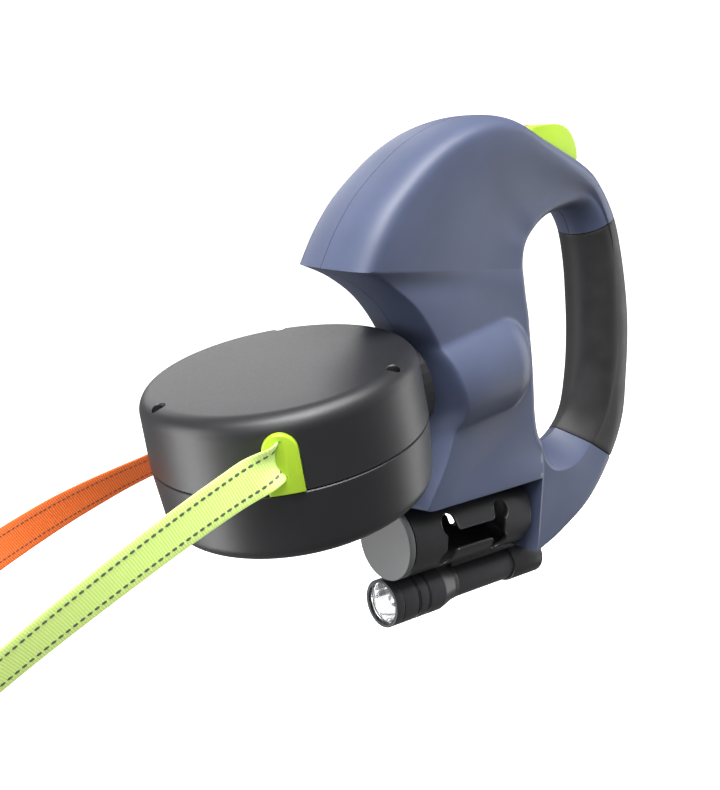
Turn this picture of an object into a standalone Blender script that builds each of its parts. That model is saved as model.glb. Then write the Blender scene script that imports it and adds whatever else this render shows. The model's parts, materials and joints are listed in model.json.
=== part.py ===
"""Two-dog retractable leash: a swivelling drum with two webbing spools, a C-shaped handle with two
thumb brakes, a waste-bag tube and a small torch.

The parts are laid out around the drum: the origin is the drum's centre, +X is the swivel axis and runs
back into the handle, and +Z is the spool axle. The last step moves everything so that the origin is the
middle of the hand grip. Lengths are written in millimetres and turned into metres by MM.
"""
import bpy
import bmesh
from math import sin, cos, pi, sqrt, radians, atan2, hypot
from mathutils import Matrix, Vector

MM = 0.001
GAP = 0.3                       # clearance kept between neighbouring solids

# ---- driving dimensions, mm -------------------------------------------------------------------
DRUM_RADIUS = 55.0
DRUM_HALF = 27.7                # half the drum's height
DRUM_WALL = 2.6
WEBBING_WIDTH = 15.0
WEBBING_THICK = 1.3
WEBBING_LEVEL = 13.4            # middle of each webbing above or below the parting plane
SPOOL_HUB = 18.0
SPOOL_FLANGE = 43.4
WOUND_RADIUS = 38.3             # 3 m of webbing on the hub
AXLE_RADIUS = 6.0
SHAFT_RADIUS = 9.5              # hollow swivel shaft
FRONT_RADIUS = 63.5             # hollow front of the handle, round the drum
SHELL_WALL = 2.6
SLEEVE_WALL = 2.2
BULGE_RADIUS = 27.5             # swivel housing standing out of the handle's sides
BULGE_LEVEL = -3.0              # its middle, which falls slightly towards the back
BULGE_FALL = 0.054
BULGE_END = 105.0               # where the bulge starts to round off
BULGE_ROUND = 22.0
GRIP_CENTRE = (192.5, 0.0, -2.0)
TUBE_TILT = radians(13)
TUBE_RADIUS = 17.5
TUBE_FRONT = (36.4, 0.0, -69.3)
TUBE_LENGTH = 81.8
TORCH_TILT = radians(13)
TORCH_FRONT = (29.6, 0.0, -98.2)
TORCH_HEAD = 11.0
TORCH_BODY = 8.2

# Cross-sections of the handle, from its outer edge to the finger opening: outer x, z, opening x, z,
# half width and rounding depth at the outer edge, half width and rounding depth at the opening.
BACK_SECTIONS = [
    (27.3, 58.3, 127.8, 33.0, 22.5, 11.0, 16.0, 6.0),
    (38.0, 71.5, 128.3, 37.0, 22.5, 11.5, 16.0, 6.0),
    (52.2, 83.6, 129.8, 40.5, 22.0, 11.0, 16.0, 6.5),
    (75.5, 95.9, 132.8, 43.5, 21.5, 10.0, 15.5, 7.0),
    (98.9, 101.5, 137.0, 46.4, 21.0, 9.0, 15.5, 7.0),
    (122.0, 100.2, 143.0, 49.0, 20.0, 9.0, 15.0, 7.0),
    (144.9, 88.6, 151.0, 50.6, 18.0, 9.0, 14.5, 7.0),
    (174.5, 71.8, 164.0, 50.2, 16.0, 9.0, 14.0, 8.0),
    (187.5, 60.5, 170.6, 47.0, 15.0, 9.5, 14.0, 9.0),
    (200.0, 42.5, 175.5, 36.0, 14.5, 13.0, 14.0, 12.0),
    (206.2, 22.0, 177.0, 20.0, 14.0, 15.0, 14.0, 14.0),
    (209.2, 0.0, 176.5, 0.0, 14.0, 16.0, 14.0, 15.0),
    (209.6, -20.0, 175.0, -18.0, 14.0, 16.5, 14.0, 16.0),
    (207.0, -43.0, 171.0, -36.0, 14.0, 17.0, 14.0, 16.0),
    (200.5, -68.8, 163.5, -51.5, 14.5, 16.0, 14.0, 16.0),
    (184.2, -87.4, 154.5, -59.5, 15.5, 12.0, 14.5, 14.0),
    (159.9, -101.9, 144.0, -62.0, 17.0, 8.0, 16.0, 13.0),
    (132.3, -107.8, 134.5, -59.5, 18.0, 5.0, 16.5, 11.0),
    (113.5, -107.3, 130.0, -54.0, 18.5, 1.5, 16.5, 9.0),
]
RECESS_BACK = [BACK_SECTIONS[-1], (121.0, -70.0, 128.2, -48.0, 19.0, 1.5, 16.5, 8.0)]
RECESS_TOP = [RECESS_BACK[-1], (85.0, -61.9, 127.8, -40.0, 19.5, 1.5, 16.5, 7.5),
              (37.9, -51.2, 127.8, -32.0, 20.0, 13.0, 16.5, 7.0)]
FRONT_ANGLES = [(-35, -20.0, 128.3, 10.5), (-17, -9.0, 128.8, 10.0), (0, 2.0, 128.8, 6.0),
                (17, 12.0, 128.8, 5.0), (35, 20.0, 128.1, 5.0), (51, 27.0, 127.8, 6.0)]
FRONT_SECTIONS = [RECESS_TOP[-1]] + [
    (FRONT_RADIUS * cos(radians(a)), FRONT_RADIUS * sin(radians(a)), x, z, 20.0, depth, 16.5, 6.5)
    for a, z, x, depth in FRONT_ANGLES] + [BACK_SECTIONS[0]]
SLEEVE_START = 9                # index in BACK_SECTIONS where the rubber sleeve begins
SLEEVE_END = 15

# Handle screws: x, z and how far out the bosses reach to the shells' walls.
SCREWS = [(57.0, 70.0, 20.6), (100.0, 84.0, 19.4), (84.0, -44.0, 17.4), (115.0, -40.0, 15.4),
          (137.0, -84.0, 15.6)]
DRUM_SCREW_ANGLES = [-65, 55, 175]
DRUM_SCREW_CIRCLE = 49.0

# Free webbing: points down its middle, and the twist of its width away from upright, in degrees.
GREEN_ROUTE = [((-31.4, -42.7, 13.4), 0), ((-34.0, -45.8, 13.2), 2), ((-38.1, -45.6, 12.0), 4),
               ((-47.2, -42.3, 8.8), 2), ((-58.1, -40.4, 5.6), -1), ((-72.6, -37.8, 0.9), -5),
               ((-87.2, -35.3, -4.2), -8), ((-101.7, -32.7, -9.6), -12), ((-116.3, -30.1, -15.3), -16),
               ((-130.9, -27.6, -21.4), -20), ((-145.4, -25.0, -28.0), -24), ((-160.0, -22.4, -34.8), -28)]
ORANGE_ROUTE = [((-23.5, 47.5, -13.4), 0), ((-25.5, 51.0, -13.5), -6), ((-29.6, 52.3, -13.9), -16),
                ((-36.5, 55.0, -14.9), -30), ((-49.4, 59.7, -17.5), -26), ((-62.4, 64.4, -20.7), -17),
                ((-75.3, 69.2, -24.5), -8), ((-88.3, 73.9, -29.1), 0), ((-101.2, 78.6, -34.2), 9),
                ((-114.2, 83.3, -40.0), 18), ((-125.4, 87.4, -45.6), 25)]


# ---- building blocks --------------------------------------------------------------------------
def clear_scene():
    for obj in list(bpy.data.objects):
        bpy.data.objects.remove(obj, do_unlink=True)


MATERIALS = {
    "navy_plastic": ((0.070, 0.085, 0.160), 0.45, 0.0),
    "black_plastic": ((0.022, 0.022, 0.024), 0.42, 0.0),
    "grip_rubber": ((0.018, 0.018, 0.018), 0.70, 0.0),
    "green_plastic": ((0.38, 0.68, 0.03), 0.35, 0.0),
    "orange_plastic": ((0.85, 0.20, 0.02), 0.35, 0.0),
    "green_webbing": ((0.66, 0.95, 0.12), 0.80, 0.0),
    "orange_webbing": ((0.78, 0.19, 0.03), 0.80, 0.0),
    "grey_plastic": ((0.17, 0.17, 0.17), 0.50, 0.0),
    "torch_aluminium": ((0.025, 0.025, 0.028), 0.35, 0.8),
    "clear_lens": ((0.80, 0.85, 0.90), 0.05, 0.0),
    "reflector_chrome": ((0.85, 0.85, 0.85), 0.10, 1.0),
    "steel": ((0.55, 0.55, 0.56), 0.30, 1.0),
    "zinc_chrome": ((0.70, 0.70, 0.72), 0.18, 1.0),
    "white_nylon": ((0.75, 0.75, 0.72), 0.45, 0.0),
    "brass": ((0.70, 0.52, 0.22), 0.30, 1.0),
    "board_white": ((0.80, 0.80, 0.78), 0.50, 0.0),
}


def material(name):
    found = bpy.data.materials.get(name)
    if found:
        return found
    colour, roughness, metallic = MATERIALS[name]
    made = bpy.data.materials.new(name)
    made.use_nodes = True
    shader = made.node_tree.nodes["Principled BSDF"]
    shader.inputs["Base Color"].default_value = (*colour, 1)
    shader.inputs["Roughness"].default_value = roughness
    shader.inputs["Metallic"].default_value = metallic
    return made


def node(name, verts, faces, finish, origin=None):
    """A named sub-part from vertices in mm; its origin goes to the point given."""
    shift = Vector(origin or (0, 0, 0))
    mesh = bpy.data.meshes.new(name)
    mesh.from_pydata([(Vector(v) - shift) * MM for v in verts], [], faces)
    tidy = bmesh.new()
    tidy.from_mesh(mesh)
    bmesh.ops.recalc_face_normals(tidy, faces=tidy.faces)
    tidy.to_mesh(mesh)
    tidy.free()
    mesh.shade_smooth()
    mesh.set_sharp_from_angle(angle=radians(35))
    obj = bpy.data.objects.new(name, mesh)
    obj.location = shift * MM
    obj.data.materials.append(material(finish))
    bpy.context.scene.collection.objects.link(obj)
    return obj


def skin(rings, closed_ring=True, closed_path=False, caps=True):
    """Vertices and faces of a surface through equal rings of points."""
    count = len(rings[0])
    verts = [p for ring in rings for p in ring]
    faces = []
    pairs = len(rings) if closed_path else len(rings) - 1
    for i in range(pairs):
        a, b = i * count, (i + 1) % len(rings) * count
        for j in range(count if closed_ring else count - 1):
            k = (j + 1) % count
            faces.append((a + j, a + k, b + k, b + j))
    if caps and not closed_path:
        faces.append(tuple(range(count))[::-1])
        faces.append(tuple((len(rings) - 1) * count + j for j in range(count)))
    return verts, faces


def turned(profile, segments=32, centre=(0, 0, 0), axis=(0, 0, 1), closed=False):
    """A profile of (radius, height) points turned about an axis through the centre.

    An open profile makes a solid with flat or pointed ends, a closed one that stays off the axis makes
    a ring, and a closed one with two neighbouring points on the axis makes a solid."""
    turn = Vector((0, 0, 1)).rotation_difference(Vector(axis)).to_matrix()
    poles = [i for i, (radius, _) in enumerate(profile) if radius == 0]
    if poles:
        start = poles[-1] if poles[-1] - poles[0] == 1 else poles[0]
        profile = profile[start:] + profile[:start]
    rings = []
    for radius, height in profile:
        ring = []
        for i in range(segments if radius else 1):
            a = 2 * pi * i / segments
            ring.append(turn @ Vector((radius * cos(a), radius * sin(a), height)) + Vector(centre))
        rings.append(ring)
    if not poles:
        return skin(rings, closed_path=closed, caps=not closed)
    verts, faces = skin(rings[1:-1], caps=False)
    tip, tail, last = len(verts), len(verts) + 1, len(verts) - segments
    for j in range(segments):
        k = (j + 1) % segments
        faces += [(tip, k, j), (tail, last + j, last + k)]
    return verts + [rings[0][0], rings[-1][0]], faces


def rod(radius, start, end, segments=20):
    span = Vector(end) - Vector(start)
    return turned([(radius, 0), (radius, span.length)], segments, start, span.normalized())


def pipe(outer, inner, start, end, segments=24):
    span = Vector(end) - Vector(start)
    length = span.length
    profile = [(inner, 0), (outer, 0), (outer, length), (inner, length)]
    return turned(profile, segments, start, span.normalized(), closed=True)


def prism(outline, low, high, to_world):
    """An outline of (u, v) points carried from w = low to w = high; to_world maps (u, v, w)."""
    rings = [[to_world(u, v, w) for u, v in outline] for w in (low, high)]
    return skin(rings)


def box(low, high):
    outline = [(low[0], low[1]), (high[0], low[1]), (high[0], high[1]), (low[0], high[1])]
    return prism(outline, low[2], high[2], lambda u, v, w: (u, v, w))


def capsule(a, b, radius, steps=6):
    """Outline of a bar with round ends between two points of a plane."""
    along = atan2(b[1] - a[1], b[0] - a[0])
    points = []
    for centre, start in ((b, along - pi / 2), (a, along + pi / 2)):
        for i in range(steps + 1):
            t = start + pi * i / steps
            points.append((centre[0] + radius * cos(t), centre[1] + radius * sin(t)))
    return points


def upright(low, high):
    """Maps an outline of the X-Z plane to a slab between two values of Y."""
    return lambda u, v, w: (u, low if w == 0 else high, v)


def slab(outline, low, high):
    return prism(outline, 0, 1, upright(low, high))


def combine(target, shape, operation):
    """Applies one Boolean with a throw-away body."""
    verts, faces = shape
    tool = node(target.name + "_tool", verts, faces, "steel")
    tool.hide_render = True
    tool.display_type = "WIRE"
    step = target.modifiers.new(operation.lower(), "BOOLEAN")
    step.operation = operation
    step.solver = "EXACT"
    step.object = tool
    bpy.context.view_layer.update()
    graph = bpy.context.evaluated_depsgraph_get()
    mesh = bpy.data.meshes.new_from_object(target.evaluated_get(graph))
    target.modifiers.clear()
    old = target.data
    target.data = mesh
    mesh.name = target.name
    bpy.data.meshes.remove(old)
    bpy.data.objects.remove(tool, do_unlink=True)
    mesh.shade_smooth()
    mesh.set_sharp_from_angle(angle=radians(35))


def cut(target, *shapes):
    for shape in shapes:
        combine(target, shape, "DIFFERENCE")


def join(target, *shapes):
    for shape in shapes:
        combine(target, shape, "UNION")


def along(origin, tilt, distance, height=0.0, side=0.0):
    """A point on an axis that runs back and down at a tilt; height is square to it, side is Y."""
    x = origin[0] + distance * cos(tilt) + height * sin(tilt)
    z = origin[2] - distance * sin(tilt) + height * cos(tilt)
    return (x, origin[1] + side, z)


def coil(name, start, end, radius, wire, turns, finish, sides=4, steps=7):
    """A compression spring between two points."""
    start, end = Vector(start), Vector(end)
    axis = (end - start).normalized()
    across = axis.orthogonal().normalized()
    other = axis.cross(across)
    rings = []
    total = turns * steps
    for i in range(total + 1):
        a = 2 * pi * i / steps
        out = across * cos(a) + other * sin(a)
        middle = start.lerp(end, i / total) + out * radius
        rings.append([middle + (out * cos(b) + axis * sin(b)) * wire
                      for b in (2 * pi * j / sides for j in range(sides))])
    return node(name, *skin(rings), finish)


# ---- handle -----------------------------------------------------------------------------------
def spline(rows, per_span):
    """Catmull-Rom rows between the given rows, the last row left out."""
    out = []
    for i in range(len(rows) - 1):
        p0 = rows[max(i - 1, 0)]
        p1, p2 = rows[i], rows[i + 1]
        p3 = rows[min(i + 2, len(rows) - 1)]
        for s in range(per_span):
            t = s / per_span
            out.append(tuple(
                0.5 * (2 * b + (c - a) * t + (2 * a - 5 * b + 4 * c - d) * t * t
                       + (3 * b - a - 3 * c + d) * t ** 3)
                for a, b, c, d in zip(p0, p1, p2, p3)))
    return out


def bulge(x, z, shrink):
    """Half width that the swivel housing asks for at a place on the side."""
    radius = BULGE_RADIUS - shrink
    back = max(0.0, (x - BULGE_END) / BULGE_ROUND) * radius
    level = BULGE_LEVEL - BULGE_FALL * (x - FRONT_RADIUS)
    left = radius ** 2 - (z - level) ** 2 - back ** 2
    return sqrt(left) if left > 0 and x > 50 else 0.0


def half_section(row, shrink, ends=3, middle=3):
    """Points of one half cross-section, outer edge to opening, inset all round by shrink."""
    ox, oz, ix, iz, ho, do, hi, di = row
    length = hypot(ix - ox, iz - oz)
    ux, uz = (ix - ox) / length, (iz - oz) / length
    ho, hi = ho - shrink, hi - shrink
    do, di = max(do - 0.5 * shrink, 0.4), max(di - 0.5 * shrink, 0.4)
    span = length - 2 * shrink
    spare = (do + di) / span
    if spare > 0.98:
        do, di = do * 0.98 / spare, di * 0.98 / spare
    points = []
    for i in range(ends):
        a = pi / 2 * i / ends
        points.append((do * (1 - cos(a)), ho * sin(a)))
    for i in range(middle + 1):
        t = i / middle
        ease = t * t * (3 - 2 * t)
        points.append((do + (span - do - di) * t, ho + (hi - ho) * ease))
    for i in range(1, ends + 1):
        a = pi / 2 * i / ends
        points.append((span - di * (1 - sin(a)), hi * cos(a)))
    placed = []
    for inset, rise in points:
        x = ox + ux * (inset + shrink)
        z = oz + uz * (inset + shrink)
        level = max(ho + (hi - ho) * inset / span, 1.0)
        swell = max(1.0, bulge(x, z, shrink) / level)
        placed.append((x, rise * swell, z))
    return placed


def handle_rows():
    rows = []
    for index, row in enumerate(spline(BACK_SECTIONS, 2)):
        place = index / 2
        covered = SLEEVE_START < place < SLEEVE_END
        if place == SLEEVE_START:
            rows += [(row, False), (nudge(row, BACK_SECTIONS[SLEEVE_START + 1]), True)]
        elif place == SLEEVE_END:
            rows += [(nudge(row, BACK_SECTIONS[SLEEVE_END - 1]), True), (row, False)]
        else:
            rows.append((row, covered))
    for part, count in ((RECESS_BACK, 2), (RECESS_TOP, 3), (FRONT_SECTIONS, 2)):
        rows += [(row, False) for row in spline(part, count)]
    return rows


def nudge(row, towards, step=0.02):
    return tuple(a + (b - a) * step for a, b in zip(row, towards))


def handle_shell(name, side):
    rings = []
    for row, covered in handle_rows():
        under = SLEEVE_WALL + GAP if covered else 0.0
        outer = half_section(row, under)
        inner = half_section(row, under + SHELL_WALL)
        ring = outer + inner[::-1]
        rings.append([(x, side * max(y, GAP / 2), z) for x, y, z in ring])
    return node(name, *skin(rings, closed_path=True), "navy_plastic")


def button_frame():
    """Middle, direction along and direction out of the thumb buttons' place on the back."""
    a = Vector((144.9, 0, 88.6))
    b = Vector((174.5, 0, 71.8))
    run = (b - a).normalized()
    out = Vector((-run.z, 0, run.x))
    return (a + b) / 2 - run * 4, run, out


def at_button(along_mm, out_mm, side_mm):
    middle, run, out = button_frame()
    point = middle + run * along_mm + out * out_mm
    return (point.x, side_mm, point.z)


def button_block(length, low, high, side_low, side_high):
    outline = [(-length / 2, low), (length / 2, low), (length / 2, high), (-length / 2, high)]
    return prism(outline, side_low, side_high, at_button)


def make_shells():
    shells = []
    for name, side in (("handle_shell_left", -1), ("handle_shell_right", 1)):
        shell = handle_shell(name, side)
        for x, z, reach in SCREWS:
            join(shell, rod(4.6, (x, side * 0.5, z), (x, side * reach, z), 8))
        cut(shell, rod(13.6, (50, 0, 0), (70, 0, 0), 28))
        cut(shell, button_block(34.8, -12.0, 14.0, -11.6, 11.6))
        cut(shell, tube_rib(GAP))
        cut(shell, tube_spigot(GAP), torch_stem(GAP))
        for x, z, _ in SCREWS:
            if side < 0:
                cut(shell, rod(1.35, (x, -12, z), (x, 1, z), 8))
            else:
                cut(shell, rod(1.6, (x, -1, z), (x, 10, z), 8), rod(3.1, (x, 7.8, z), (x, 40, z), 10))
        shells.append(shell)
    return shells


def make_handle_screws():
    for index, (x, z, _) in enumerate(SCREWS, 1):
        head, thread = (x, 8.5, z), (x, -10.5, z)
        body = node(f"handle_screw_{index}", *rod(1.0, thread, head, 8), "steel", head)
        join(body, rod(2.7, (x, 8.1, z), (x, 10.2, z), 10))
        cut(body, rod(1.2, (x, 9.2, z), (x, 11, z), 6))


def make_sleeve():
    """The rubber grip: a tube of two half-sections that follows the back of the handle."""
    rows = spline(BACK_SECTIONS, 2)[2 * SLEEVE_START:2 * SLEEVE_END + 1]
    rows[0] = nudge(rows[0], BACK_SECTIONS[SLEEVE_START + 1], 0.04)
    rows[-1] = nudge(rows[-1], BACK_SECTIONS[SLEEVE_END - 1], 0.04)
    skins = []
    for shrink in (0.0, SLEEVE_WALL):
        rings = []
        for row in rows:
            half = half_section(row, shrink)
            ring = [(x, -y, z) for x, y, z in half] + [(x, y, z) for x, y, z in half[-2:0:-1]]
            rings.append(ring)
        skins.append(rings)
    outer, inner = skins
    verts, faces = skin(outer, caps=False)
    more, inner_faces = skin(inner, caps=False)
    base = len(verts)
    faces += [tuple(base + i for i in face) for face in inner_faces]
    count = len(outer[0])
    for start in (0, (len(outer) - 1) * count):
        for j in range(count):
            k = (j + 1) % count
            faces.append((start + j, start + k, base + start + k, base + start + j))
    return node("grip_sleeve", verts + more, faces, "grip_rubber")


# ---- swivel -----------------------------------------------------------------------------------
def make_swivel():
    core = [(7.5, 46), (14.5, 46), (14.5, 49), (SHAFT_RADIUS, 49), (SHAFT_RADIUS, 101), (4.6, 101), (4.6, 55),
            (7.5, 55)]
    shaft = node("swivel_shaft", *rod(21.0, (49.2, 0, 0), (59.0, 0, 0), 32), "black_plastic")
    cut(shaft, turned([(DRUM_RADIUS + GAP, -30), (DRUM_RADIUS + GAP, 30)], 48))
    cut(shaft, rod(8.5, (40, 0, 0), (70, 0, 0), 24))
    join(shaft, turned(core, 24, (0, 0, 0), (1, 0, 0), closed=True))
    for start, name in ((70.5, "swivel_bush_front"), (88.0, "swivel_bush_rear")):
        node(name, *pipe(13.0, SHAFT_RADIUS + GAP, (start, 0, 0), (start + 9, 0, 0), 20), "white_nylon")
    section = [(13.3, 70), (16.5, 70), (16.5, 74), (18.8, 74), (18.8, 77), (16.5, 77), (16.5, 92), (18.8, 92),
               (18.8, 95), (16.5, 95), (16.5, 98), (13.3, 98)]
    node("swivel_housing", *turned(section, 24, (0, 0, 0), (1, 0, 0), closed=True), "black_plastic")
    node("thrust_washer", *pipe(14.5, SHAFT_RADIUS + GAP, (98.4, 0, 0), (99.4, 0, 0), 20), "steel")
    return shaft


def make_swivel_ring():
    """Snap ring that keeps the shaft in its housing, with its gap."""
    outline = []
    for radius, order in ((12.4, 1), (9.8, -1)):
        arc = [radians(20 + 320 * i / 20) for i in range(21)][::order]
        outline += [(radius * cos(a), radius * sin(a)) for a in arc]
    body = prism(outline, 99.7, 100.7, lambda u, v, w: (w, u, v))
    node("swivel_snap_ring", *body, "steel")


# ---- thumb brakes -----------------------------------------------------------------------------
LEVER_PIVOT = (110.0, 0.0, 40.0)
LEVER_ELBOW = (128.0, 60.0)     # the arm rises steeply first, to clear the finger opening's wall
LEVER_TIP = (150.0, 62.8)


def make_brake(colour, side, foot_x):
    """One thumb button, its spring and its lever; side is the sign of Y."""
    low, high = sorted((side * 1.0, side * 11.2))
    crest = [(-17.0, -3.5), (17.0, -3.5), (17.0, -0.6), (15.6, 2.2), (13.2, 4.8), (10.0, 7.2), (6.4, 8.6),
             (2.4, 8.9), (-2.0, 8.0), (-6.5, 6.4), (-11.5, 4.0), (-15.5, 1.8), (-17.0, 0.6)]
    button = node(f"{colour}_button", *prism(crest, low, high, at_button), f"{colour}_plastic",
                  at_button(0, 0, side * 6))
    join(button, rod(2.0, at_button(3.0, -17.3, side * 6), at_button(3.0, -2.0, side * 6), 12))
    coil(f"{colour}_button_spring", at_button(3.0, -9.5, side * 6), at_button(3.0, -4.1, side * 6),
         3.1, 0.4, 4, "steel")
    low, high = sorted((side * 2.8, side * 7.6))
    lever = node(f"{colour}_lever", *slab(capsule(LEVER_ELBOW, LEVER_TIP, 2.2), low, high),
                 "white_nylon", LEVER_PIVOT)
    low, high = sorted((side * 3.0, side * 7.4))
    join(lever, slab(capsule(LEVER_PIVOT[::2], LEVER_ELBOW, 2.3), low, high))
    low, high = sorted((side * 2.8, side * 6.0))
    join(lever, slab(capsule(LEVER_PIVOT[::2], (foot_x, 0.0), 2.0), low, high))
    join(lever, rod(4.2, (110, low, 40), (110, high, 40), 16))
    cut(lever, rod(1.8, (110, -9, 40), (110, 9, 40), 14))


def make_brakes():
    make_brake("green", -1, 122.6)
    make_brake("orange", 1, 109.0)
    node("lever_pin", *rod(1.5, (110, -8.5, 40), (110, 8.5, 40), 14), "steel")
    rod_section = [(0, 53.4), (2.0, 53.4), (2.0, 117.0), (4.5, 117.0), (4.5, 118.5), (0, 118.5)]
    node("green_push_rod", *turned(rod_section, 14, (0, 0, 0), (1, 0, 0)), "steel")
    tube_section = [(2.5, 53.4), (3.9, 53.4), (3.9, 105.0), (6.0, 105.0), (6.0, 106.6), (2.5, 106.6)]
    node("orange_push_tube", *turned(tube_section, 14, (0, 0, 0), (1, 0, 0), closed=True), "brass")
    shoe = node("green_brake_shoe", *box((48.2, -3, 1.8), (50.0 - 0.7, 3, 6.0)), "white_nylon")
    join(shoe, box((48.4, -1.3, -1.3), (53.0, 1.3, 2.0)))
    node("orange_brake_shoe", *box((48.2, -3, -6.4), (53.0, 3, -2.4)), "white_nylon")


# ---- drum -------------------------------------------------------------------------------------
def case_profile():
    """Half of the drum's shell in (radius, height), a closed section from the parting plane up."""
    outer, top, wall = DRUM_RADIUS, DRUM_HALF, DRUM_WALL
    round_radius = 7.0
    points = [(outer - wall, GAP / 2), (outer, GAP / 2), (outer - 0.4, top - round_radius - 1.5)]
    for i in range(4):
        a = radians(90 * i / 3)
        points.append((outer - 1.0 - round_radius * (1 - cos(a)), top - round_radius * (1 - sin(a))))
    inner = [(outer - wall - 5.5, top - wall), (outer - wall - 0.6, top - wall - 5.0)]
    return points, inner


def drum_case(name, side):
    points, inner = case_profile()
    profile = points + [(0, DRUM_HALF), (0, DRUM_HALF - DRUM_WALL)] + inner
    verts, faces = turned([(radius, side * height) for radius, height in profile], 48, closed=True)
    return node(name, verts, faces, "black_plastic")


def polar(radius, angle, height=0.0):
    return (radius * cos(radians(angle)), radius * sin(radians(angle)), height)


OUTLETS = {"green": (1, -125.0), "orange": (-1, 115.0)}


def outlet_arch(side, grow):
    """Outline of an outlet tab: across the drum's side and up from the parting plane."""
    half, shoulder, base = 6.2 + grow, 15.5, 0.5 - grow
    arch = [(-half, side * base), (half, side * base)]
    for i in range(9):
        a = pi * i / 8
        arch.append((half * cos(a), side * (shoulder + (6.8 + grow) * sin(a))))
    return arch


def at_outlet(angle):
    out = Vector(polar(1, angle))
    across = Vector((-out.y, out.x, 0))
    return lambda u, v, w: tuple(out * w + across * u + Vector((0, 0, v)))


def make_outlet(colour):
    side, angle = OUTLETS[colour]
    place = at_outlet(angle)
    tab = node(f"{colour}_outlet", *prism(outlet_arch(side, 0), 48, 62, place), f"{colour}_plastic")
    combine(tab, pipe(56.4, 51.6, (0, 0, -40), (0, 0, 40), 72), "INTERSECT")
    slot = [(-3.8, side * 5.2), (0.4, side * 5.2), (0.4, side * 21.2), (-3.8, side * 21.2)]
    if side < 0:
        slot = [(-u, v) for u, v in slot]
    cut(tab, prism(slot, 40, 70, place))


def make_drum():
    for name, side, colour in (("drum_upper_case", 1, "green"), ("drum_lower_case", -1, "orange")):
        case = drum_case(name, side)
        _, angle = OUTLETS[colour]
        cut(case, prism(outlet_arch(side, GAP), 45, 65, at_outlet(angle)))
        cut(case, rod(SHAFT_RADIUS + GAP, (30, 0, 0), (60, 0, 0), 32))
        for screw in DRUM_SCREW_ANGLES:
            x, y, _ = polar(DRUM_SCREW_CIRCLE, screw)
            join(case, rod(3.3, (x, y, side * 0.6), (x, y, side * (DRUM_HALF - 1.5)), 12))
            if side > 0:
                cut(case, rod(2.5, (x, y, 14), (x, y, 40), 14), rod(1.7, (x, y, -1), (x, y, 40), 10))
            else:
                cut(case, rod(1.15, (x, y, -20), (x, y, 5), 10))
    for index, angle in enumerate(DRUM_SCREW_ANGLES, 1):
        x, y, _ = polar(DRUM_SCREW_CIRCLE, angle)
        screw = node(f"drum_screw_{index}", *rod(0.85, (x, y, -16), (x, y, 16), 10), "steel", (x, y, 0))
        join(screw, rod(2.1, (x, y, 14.4), (x, y, 16.4), 12))
        cut(screw, rod(1.0, (x, y, 15.4), (x, y, 18), 6))


def toothed_spool(side):
    """Spool section turned about the axle; the flange by the divider has ratchet teeth."""
    low, high = 4.6, 22.2
    profile = [(AXLE_RADIUS + GAP, low), (SPOOL_FLANGE, low), (SPOOL_FLANGE, low + 0.9),
               (SPOOL_HUB, low + 0.9), (SPOOL_HUB, high - 0.9), (SPOOL_FLANGE - 1, high - 0.9),
               (SPOOL_FLANGE - 1, high), (AXLE_RADIUS + GAP, high)]
    segments = 36
    rings = []
    for index, (radius, height) in enumerate(profile):
        ring = []
        for i in range(segments):
            r = radius - (2.2 if index in (1, 2) and i % 3 == 0 else 0)
            a = 2 * pi * i / segments
            ring.append((r * cos(a), r * sin(a), side * height))
        rings.append(ring)
    return skin(rings, closed_path=True)


def make_spools():
    node("spool_axle", *rod(AXLE_RADIUS, (0, 0, -24.8), (0, 0, 24.8), 24), "steel")
    divider = node("spool_divider", *pipe(51.5, AXLE_RADIUS + GAP, (0, 0, -0.7), (0, 0, 0.7), 36),
                   "black_plastic")
    cut(divider, box((43.5, -16, -2), (60, 16, 2)))
    for angle in DRUM_SCREW_ANGLES:
        x, y, _ = polar(DRUM_SCREW_CIRCLE, angle)
        cut(divider, rod(3.7, (x, y, -2), (x, y, 2), 12))
    for colour, side in (("green", 1), ("orange", -1)):
        node(f"{colour}_spool", *toothed_spool(side), "white_nylon")
        low, high = WEBBING_LEVEL - WEBBING_WIDTH / 2, WEBBING_LEVEL + WEBBING_WIDTH / 2
        ring = [(SPOOL_HUB + GAP, side * low), (WOUND_RADIUS, side * low), (WOUND_RADIUS, side * high),
                (SPOOL_HUB + GAP, side * high)]
        node(f"{colour}_wound_webbing", *turned(ring, 32, closed=True), f"{colour}_webbing")
        spiral_spring(f"{colour}_power_spring", side)


def spiral_spring(name, side):
    """A flat steel strip wound in a spiral beside the spool."""
    turns, steps, inner, pitch, thick = 4, 11, 8.0, 4.2, 0.8
    rings = []
    for i in range(turns * steps + 1):
        a = 2 * pi * i / steps
        r = inner + pitch * i / steps
        ring = [(r, 1.1), (r + thick, 1.1), (r + thick, 4.2), (r, 4.2)]
        rings.append([(radius * cos(a), radius * sin(a), side * height) for radius, height in ring])
    node(name, *skin(rings), "steel")


# ---- webbing and hooks ------------------------------------------------------------------------
def strap_frames(route):
    """Middle, direction and width direction at points read from a smooth curve down the route."""
    rows = [(*point, twist) for point, twist in route]
    dense = spline(rows, 2) + [rows[-1]]
    frames = []
    for i, row in enumerate(dense):
        before, after = dense[max(i - 1, 0)], dense[min(i + 1, len(dense) - 1)]
        run = (Vector(after[:3]) - Vector(before[:3])).normalized()
        across = run.cross(Vector((0, 0, 1))).normalized()
        up = across.cross(run)
        twist = radians(row[3])
        frames.append((Vector(row[:3]), run, up * cos(twist) + run.cross(up) * sin(twist)))
    return frames


def make_strap(colour, route):
    rings = []
    for middle, run, wide in strap_frames(route):
        flat = run.cross(wide).normalized()
        w, t = wide * WEBBING_WIDTH / 2, flat * WEBBING_THICK / 2
        rings.append([middle + w + t, middle + w - t, middle - w - t, middle - w + t])
    node(f"{colour}_strap", *skin(rings), f"{colour}_webbing")
    make_hook(colour, route)


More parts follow.
